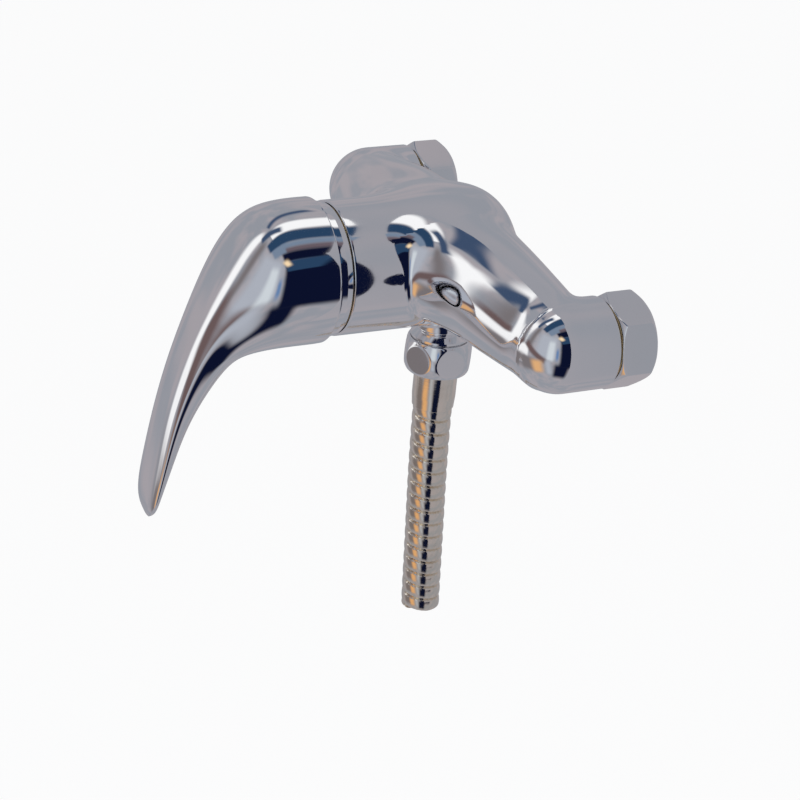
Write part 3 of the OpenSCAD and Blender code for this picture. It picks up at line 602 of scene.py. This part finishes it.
class Value:
    """A socket that takes part in sums."""

    def __init__(self, tree, socket):
        self.tree, self.socket = tree, socket

    def sum(self, operation, a, b=None):
        return self.tree.node("Math", {"operation": operation}, {0: a, 1: b})

    def __add__(self, other):
        return self.sum("ADD", self, other)

    def __radd__(self, other):
        return self.sum("ADD", other, self)

    def __sub__(self, other):
        return self.sum("SUBTRACT", self, other)

    def __rsub__(self, other):
        return self.sum("SUBTRACT", other, self)

    def __mul__(self, other):
        return self.sum("MULTIPLY", self, other)

    def __rmul__(self, other):
        return self.sum("MULTIPLY", other, self)

    def __abs__(self):
        return self.sum("ABSOLUTE", self)

    def ramp(self, low, high):
        """0 below low and 1 above high, with an even rise between."""
        return self.tree.node("MapRange", {"interpolation_type": "SMOOTHSTEP"},
                              {"Value": self, "From Min": low, "From Max": high})


def srgb(*parts):
    """The linear colour of three display values from 0 to 255."""
    return tuple((v / 255 / 12.92) if v < 11 else ((v / 255 + 0.055) / 1.055) ** 2.4 for v in parts)


def finished(name, build):
    """A material whose Principled shader gets its sockets from build."""
    material = bpy.data.materials.new(name)
    tree = Tree(material)
    sockets = build(tree)
    shader = tree.node("BsdfPrincipled", None, sockets)
    tree.node("OutputMaterial", None, {"Surface": shader})
    return material


# Finishes of the mixer

def bumped(tree, height, distance, strength=1.0):
    return tree.node("Bump", None, {"Height": height, "Distance": distance, "Strength": strength})


def polished_chrome(tint, haze):
    """Bright plating over a hand-polished casting: slow waves, faint wiping marks and a thin haze."""
    def build(tree):
        spot = tree.place()
        waves = tree.noise(spot, 55, 2)
        wipes = tree.noise(tree.place((1, 0.25, 1), (0.4, 0.7, 0.2)), 420, 4, 0.65)
        film = tree.noise(spot, 38, 5, 0.6).ramp(0.42, 0.74)
        height = waves + wipes * 0.0035
        return {"Base Color": tree.mix(film * 0.5, tint, tuple(v * 0.965 for v in tint)), "Metallic": 1.0,
                "Roughness": haze + film * 0.025 + wipes * 0.02, "Normal": bumped(tree, height, 0.00006)}
    return build


def hose_strip_steel(tree):
    """Stainless strip drawn through rollers: bands along the strip, dull and darker in random patches."""
    bands = tree.noise(tree.place((1, 1, 9)), 160, 4, 0.6)
    grime = tree.noise(tree.place(), 210, 5, 0.7).ramp(0.45, 0.8)
    return {"Base Color": tree.mix(grime * 0.6, (0.93, 0.86, 0.76), (0.76, 0.68, 0.57)), "Metallic": 1.0,
            "Roughness": 0.045 + bands * 0.06 + grime * 0.07,
            "Normal": bumped(tree, bands, 0.00003)}


def turned_brass(tree):
    marks = tree.noise(tree.place(), 300, 3)
    rings = tree.node("TexWave", {"bands_direction": "Y"},
                      {"Vector": tree.place(), "Scale": 420, "Distortion": 1.5})
    tone = tree.mix(marks.ramp(0.4, 0.75), (0.78, 0.6, 0.31), (0.66, 0.47, 0.24))
    return {"Base Color": tone, "Metallic": 1.0, "Roughness": 0.24 + marks * 0.16,
            "Normal": bumped(tree, rings, 0.00002)}


def drawn_steel(tree):
    marks = tree.noise(tree.place((1, 1, 6)), 380, 3)
    return {"Base Color": tree.mix(marks, (0.6, 0.61, 0.63), (0.7, 0.71, 0.73)), "Metallic": 1.0,
            "Roughness": 0.22 + marks * 0.14, "Normal": bumped(tree, marks, 0.00002)}


def black_rubber(tree):
    skin = tree.noise(tree.place(), 900, 4, 0.6)
    dust = tree.noise(tree.place(), 90, 4).ramp(0.5, 0.85)
    return {"Base Color": tree.mix(dust * 0.35, (0.018, 0.018, 0.019), (0.07, 0.068, 0.065)),
            "Roughness": 0.58 + skin * 0.24, "Normal": bumped(tree, skin, 0.00004)}


def moulded_plastic(colour, second, rough):
    def build(tree):
        flow = tree.noise(tree.place((1, 1, 0.4)), 70, 4)
        grain = tree.noise(tree.place(), 1500, 3, 0.6)
        return {"Base Color": tree.mix(flow.ramp(0.35, 0.7), colour, second),
                "Roughness": rough + grain * 0.14, "Normal": bumped(tree, grain, 0.00002)}
    return build


def lapped_ceramic(tree):
    grain = tree.noise(tree.place(), 2200, 3)
    cloud = tree.noise(tree.place(), 120, 4).ramp(0.4, 0.7)
    return {"Base Color": tree.mix(cloud, (0.8, 0.77, 0.7), (0.74, 0.7, 0.62)),
            "Roughness": 0.16 + grain * 0.12, "Normal": bumped(tree, grain, 0.00001)}


FINISHES = {
    "chrome_body": polished_chrome((0.93, 0.93, 0.945), 0.028),
    "chrome_lever": polished_chrome((0.93, 0.93, 0.945), 0.024),
    "chrome_nut": polished_chrome((0.91, 0.91, 0.92), 0.035),
    "hose_steel": hose_strip_steel,
    "brass": turned_brass,
    "spring_steel": drawn_steel,
    "rubber": black_rubber,
    "white_plastic": moulded_plastic((0.76, 0.76, 0.74), (0.7, 0.7, 0.68), 0.3),
    "dark_plastic": moulded_plastic((0.035, 0.035, 0.038), (0.05, 0.05, 0.053), 0.34),
    "ceramic": lapped_ceramic,
    "index_plastic": moulded_plastic((0.42, 0.015, 0.012), (0.36, 0.012, 0.01), 0.18),
}
finishes = {slot: finished(slot, build) for slot, build in FINISHES.items()}


def dress(piece, slot):
    piece.data.materials.clear()
    piece.data.materials.append(finishes[slot])


for part in frame["record"]["subparts"]:
    dress(frame["nodes"][part["node"]], part["material_slot"])
for slot, pieces in {"hose_steel": [hose, ferrule], "chrome_body": [body, collar], "chrome_lever": [lever],
                     "chrome_nut": [coupling, *union_nuts]}.items():
    for piece in pieces:
        dress(piece, slot)


# Floor, light and the paper tent that the chrome reflects

OPEN, PAPER, WARM_PAPER, PALE = None, srgb(151, 154, 162), srgb(168, 163, 168), srgb(176, 181, 191)
BRIGHT, NAVY, TEAL, BLUE = srgb(210, 217, 222), srgb(12, 18, 44), srgb(42, 68, 98), srgb(104, 134, 176)
MIST, SLATE, MAUVE = srgb(120, 136, 157), srgb(62, 80, 108), srgb(106, 94, 102)
BROWN, AMBER, LAMP = srgb(108, 90, 90), srgb(226, 176, 124), srgb(255, 226, 182)
STONE = srgb(122, 116, 118)

# Cards on the tent's walls, each laid over those before it: the middle in degrees round from the front and
# up from level, width and height, how soft its sides and its ends are, how far it is turned, its colour
WALL_CARDS = [
    ("front wall", (36, 20), (56, 52), (24, 14), 0, PALE),
    ("front wall light", (48, 12), (16, 44), (10, 12), 0, BRIGHT),
    ("window", (-31, 14), (13, 72), (7, 14), 0, OPEN),
    ("window foot", (-19, -7), (18, 20), (8, 6), 0, OPEN),
    ("window post", (-11, 29), (13, 44), (12, 16), 0, STONE),
    ("skirting", (8, -3), (64, 13), (10, 8), -22, BROWN),
    ("table gap", (-8, -30), (64, 28), (30, 12), 0, STONE),
    ("low lamp", (17, -31), (28, 28), (20, 12), 8, AMBER),
    ("blue panel", (64, 6), (6, 24), (5, 14), 0, BLUE),
    ("open room", (98, 10), (54, 70), (9, 10), 0, NAVY),
    ("low room", (77, -34), (34, 34), (12, 14), 0, NAVY),
    ("pale post", (47, -28), (12, 34), (12, 12), 12, PALE),
]

# Cards on the tent's roof, in the same order: to the right and towards the wall, in hundredths of the height
ROOF_CARDS = [
    ("roof shade", (-62, 0), (14, 96), (12, 8), 19, SLATE),
    ("skylight", (-18, 0), (28, 102), (9, 4), 5, OPEN),
    ("roof streak", (-26, -51), (17, 82), (9, 14), -15, SLATE),
    ("roof mist", (30, -45), (60, 60), (14, 14), 0, MIST),
    ("roof beam", (12, -15), (30, 132), (9, 14), 0, TEAL),
    ("pale strip", (36, 9), (16, 84), (12, 10), 0, MIST),
    ("mauve strip", (52, 14), (18, 74), (12, 10), 0, MAUVE),
    ("roof room", (78, 5), (40, 92), (13, 12), 0, NAVY),
    ("roof far", (130, 10), (70, 110), (14, 20), 0, TEAL),
    ("lamp", (106, -33), (34, 24), (24, 18), 20, LAMP),
]
TENT_CENTRE, TENT_R = (0, -60, -30), 1200
SIDE_CARD_X, SIDE_CARD_EDGE = 118, -32.5
TOP_CARD_Z, TOP_CARD_EDGE, CORNER_CARD_EDGE = 132, -30, -27
CARDS_LEFT, CARDS_CORNER, CARDS_BACK, CARDS_FOOT = -130, 50, 240, -170
SKY_LIGHT, FLOOR_GLOW = 0.82, 0.85
FLOOR_Z, FLOOR_HALF = -1300, 20000


def stage_piece(name, points, faces):
    mesh = bpy.data.meshes.new(name)
    mesh.from_pydata([tuple(v * MM for v in p) for p in points], [], faces)
    piece = bpy.data.objects.new(name, mesh)
    bpy.context.scene.collection.objects.link(piece)
    return piece


def only_reflected(piece):
    piece.visible_camera = piece.visible_diffuse = piece.visible_shadow = False
    piece.visible_transmission = piece.visible_volume_scatter = False


def laid(across, up, card):
    """How much a card covers, from 0 to 1, and its colour."""
    name, size, soft, lean, paint = card[0], card[2], card[3], math.radians(card[4]), card[5]
    side = across * math.cos(lean) + up * math.sin(lean) if lean else across
    end = up * math.cos(lean) - across * math.sin(lean) if lean else up
    share = 1
    for value, width, edge in ((side, size[0], soft[0]), (end, size[1], soft[1])):
        share = share * (1 - abs(value).ramp((width - edge) / 2, (width + edge) / 2))
    return share, paint


def papery(tree, spot):
    """Two close tones of paper in large soft clouds."""
    return tree.mix(tree.noise(spot, 3.2, 2).ramp(0.38, 0.66), PAPER, WARM_PAPER)


def tent():
    ball = bmesh.new()
    bmesh.ops.create_icosphere(ball, subdivisions=5, radius=TENT_R)
    points = [tuple(v.co) for v in ball.verts]
    faces = [tuple(v.index for v in f.verts) for f in ball.faces]
    ball.free()
    piece = stage_piece("paper_tent", points, faces)
    piece.location = [v * MM for v in TENT_CENTRE]
    material = bpy.data.materials.new("paper_tent")
    tree = Tree(material)
    spot = tree.node("TexCoord", output="Object")
    x, y, z = (tree.node("SeparateXYZ", None, {"Vector": spot}, output=i) for i in range(3))
    to_degrees = math.degrees(1)
    turn = tree.node("Math", {"operation": "ARCTAN2"}, {0: x, 1: y * -1}) * to_degrees
    rise = tree.node("Math", {"operation": "ARCSINE"}, {0: z * (1 / (TENT_R * MM))}) * to_degrees
    above = z.ramp(0.1 * TENT_R * MM, 0.2 * TENT_R * MM)
    height = tree.node("Math", {"operation": "MAXIMUM"}, {0: z, 1: 0.1 * TENT_R * MM}) * 0.01
    slant_x, slant_y = (tree.node("Math", {"operation": "DIVIDE"}, {0: v, 1: height}) for v in (x, y))
    cards = []
    for card in WALL_CARDS:
        across = tree.node("Math", {"operation": "WRAP"}, {0: turn - card[1][0], 1: 180.0, 2: -180.0})
        cards.append(laid(across, rise - card[1][1], card))
    for card in ROOF_CARDS:
        share, paint = laid(slant_x - card[1][0], slant_y - card[1][1], card)
        cards.append((share * above, paint))
    colour, gap = papery(tree, spot), 0
    for share, paint in cards:
        gap = gap * (1 - share) + (share if paint is OPEN else 0)
        if paint is not OPEN:
            colour = tree.mix(share, colour, paint)
    glow = tree.node("Emission", None, {"Color": colour})
    through = tree.node("BsdfTransparent")
    both = tree.node("MixShader", None, {0: gap, 1: glow, 2: through})
    tree.node("OutputMaterial", None, {"Surface": both})
    piece.data.materials.append(material)
    only_reflected(piece)
    return piece


def near_card(name, corners):
    """A pale sheet close to the mixer, seen only in its chrome."""
    card = stage_piece(name, corners, [(0, 1, 2, 3)])
    material = bpy.data.materials.new(name)
    tree = Tree(material)
    glow = tree.node("Emission", None, {"Color": papery(tree, tree.node("TexCoord", output="Object"))})
    tree.node("OutputMaterial", None, {"Surface": glow})
    card.data.materials.append(material)
    only_reflected(card)


tent()
near_card("side_card", [(SIDE_CARD_X, SIDE_CARD_EDGE, CARDS_FOOT), (SIDE_CARD_X, CARDS_BACK, CARDS_FOOT),
                        (SIDE_CARD_X, CARDS_BACK, TOP_CARD_Z), (SIDE_CARD_X, SIDE_CARD_EDGE, TOP_CARD_Z)])
for name, left, right, edge in (("top_card", CARDS_LEFT, CARDS_CORNER, TOP_CARD_EDGE),
                                ("corner_card", CARDS_CORNER, SIDE_CARD_X, CORNER_CARD_EDGE)):
    near_card(name, [(left, edge, TOP_CARD_Z), (right, edge, TOP_CARD_Z),
                     (right, CARDS_BACK, TOP_CARD_Z), (left, CARDS_BACK, TOP_CARD_Z)])


def seen(tree):
    """1 for the camera and for what metal and glass show, 0 for light that falls on a surface."""
    rays = ("Is Camera Ray", "Is Glossy Ray", "Is Transmission Ray")
    camera, glossy, through = (tree.node("LightPath", output=name) for name in rays)
    return (camera + glossy + through).ramp(0, 1)


floor_corners = [(-FLOOR_HALF, -FLOOR_HALF, FLOOR_Z), (FLOOR_HALF, -FLOOR_HALF, FLOOR_Z),
                 (FLOOR_HALF, FLOOR_HALF, FLOOR_Z), (-FLOOR_HALF, FLOOR_HALF, FLOOR_Z)]
floor = stage_piece("floor", floor_corners, [(0, 1, 2, 3)])
floor_paint = bpy.data.materials.new("floor")
floor_tree = Tree(floor_paint)
matt = floor_tree.node("BsdfPrincipled", None, {"Base Color": (0.94, 0.94, 0.94, 1), "Roughness": 0.9})
white = floor_tree.node("Emission", None, {"Color": (1, 1, 1, 1)})
floor_tree.node("OutputMaterial", None, {"Surface": floor_tree.node(
    "MixShader", None, {0: seen(floor_tree) * FLOOR_GLOW, 1: matt, 2: white})})
floor.data.materials.append(floor_paint)

world = bpy.data.worlds.new("studio")
bpy.context.scene.world = world
sky = Tree(world)
plain = sky.node("Background", None, {"Color": (0.96, 0.97, 1, 1), "Strength": SKY_LIGHT})
white = sky.node("Background", None, {"Color": (1, 1, 1, 1), "Strength": 1.0})
both = sky.node("MixShader", None, {0: seen(sky), 1: plain, 2: white})
sky.node("OutputWorld", None, {"Surface": both})


def lamp(name, place, size, power):
    light = bpy.data.lights.new(name, "AREA")
    light.shape, light.size, light.energy = "DISK", size, power
    holder = bpy.data.objects.new(name, light)
    bpy.context.scene.collection.objects.link(holder)
    aim = Vector((0, -0.06, -0.03)) - Vector(place)
    holder.matrix_world = Matrix.Translation(place) @ aim.to_track_quat("-Z", "Y").to_matrix().to_4x4()
    holder.visible_glossy = False


lamp("overhead_softbox", (-0.5, -0.7, 1.4), 1.2, 7)
lamp("side_softbox", (1.3, -0.9, 0.6), 0.9, 4)
bpy.context.scene.view_settings.view_transform = "Standard"
